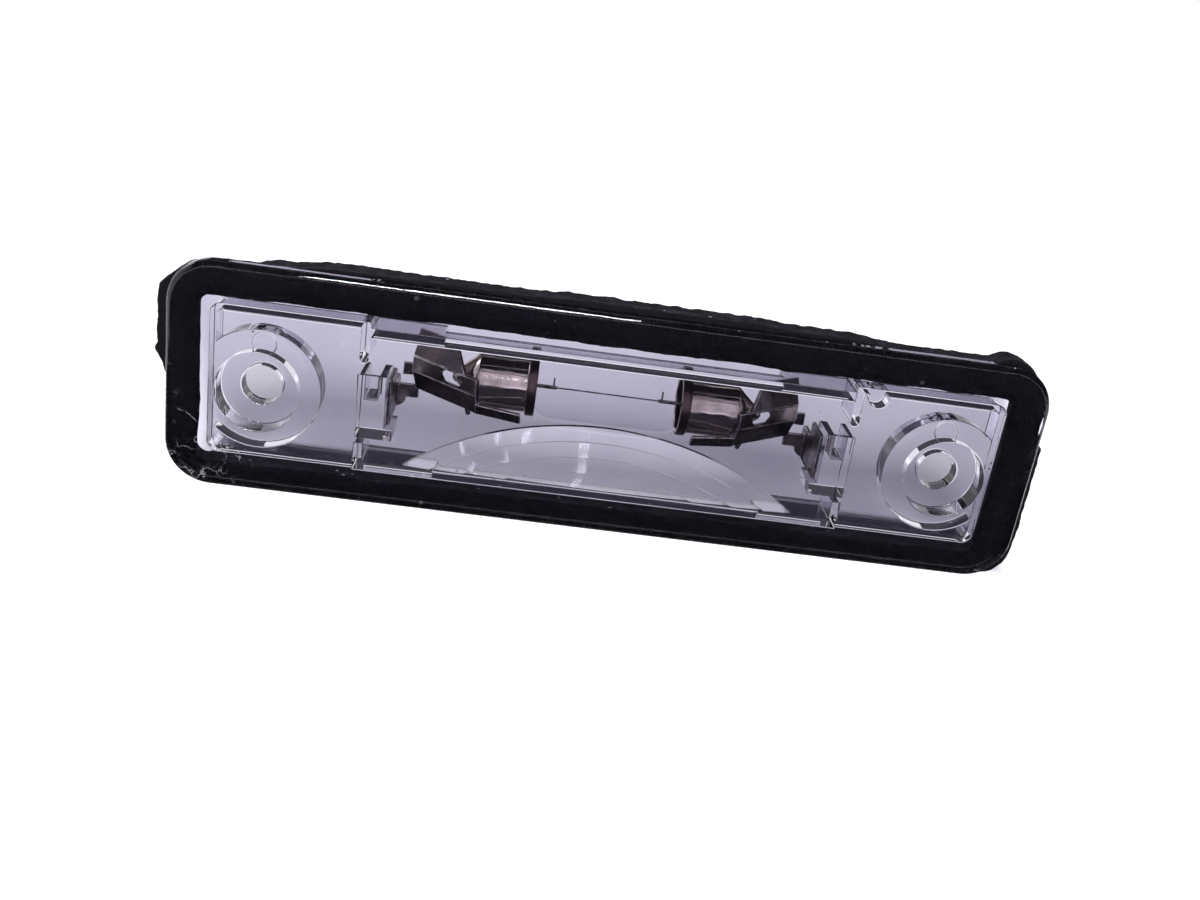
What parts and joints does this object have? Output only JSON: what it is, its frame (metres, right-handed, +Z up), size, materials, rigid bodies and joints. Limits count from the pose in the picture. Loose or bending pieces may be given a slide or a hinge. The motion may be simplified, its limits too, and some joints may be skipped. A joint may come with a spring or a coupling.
{
  "type": "number plate lamp",
  "caption": "Long rectangular car number plate lamp: clear one-piece lens with screw bosses and prism rings, foam gasket, sprung contacts and a festoon bulb.",
  "frame": {"origin": "midway between the two screw holes, on the back face of the gasket, which goes against the car body", "axes": "+X along the lamp, +Y from the lens's front face towards the car body, +Z up as in the picture"},
  "size_m": [0.1258, 0.0165, 0.0332],
  "materials": {
    "clear_plastic": "clear",
    "foam": "matte",
    "contact_metal": "satin",
    "cap_metal": "satin",
    "bulb_glass": "clear",
    "wire_metal": "satin"
  },
  "bodies": {
    "root": {"clear_lens": "clear_plastic", "foam_gasket": "foam", "contact_left": "contact_metal", "contact_right": "contact_metal", "bulb_glass": "bulb_glass", "bulb_cap_left": "cap_metal", "bulb_cap_right": "cap_metal", "bulb_lead_left": "wire_metal", "bulb_lead_right": "wire_metal", "bulb_filament": "wire_metal"}
  },
  "joints": []
}
